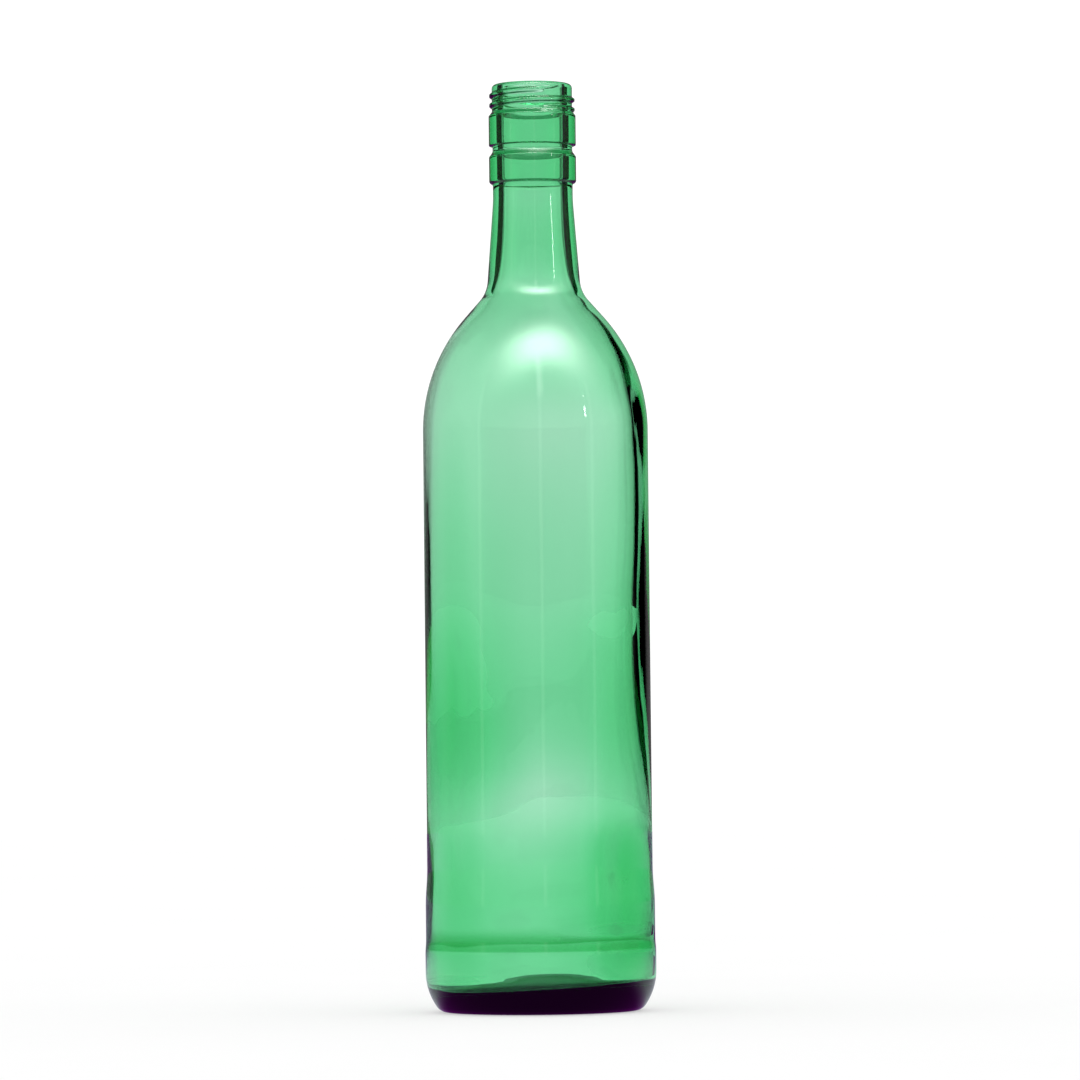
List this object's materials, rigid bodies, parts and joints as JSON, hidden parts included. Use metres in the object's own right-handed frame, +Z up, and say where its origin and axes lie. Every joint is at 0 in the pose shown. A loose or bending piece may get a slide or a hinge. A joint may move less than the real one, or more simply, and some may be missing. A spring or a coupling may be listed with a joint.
{
  "type": "glass bottle",
  "caption": "Round green glass bottle with a long neck, domed shoulder, sunk label panel and an open, collared screw finish; holds oil, wine or spirit.",
  "frame": {"origin": "centre of the base, on the plane the bottle stands on", "axes": "+Z up along the bottle's axis; +X towards the side where the glass of the body is thickest; mould seams near +Y and -Y"},
  "size_m": [0.076, 0.076, 0.306],
  "materials": {
    "green_glass": "clear, smooth, mid green, glossy"
  },
  "bodies": {
    "root": {"bottle_glass": "green_glass"}
  },
  "joints": []
}
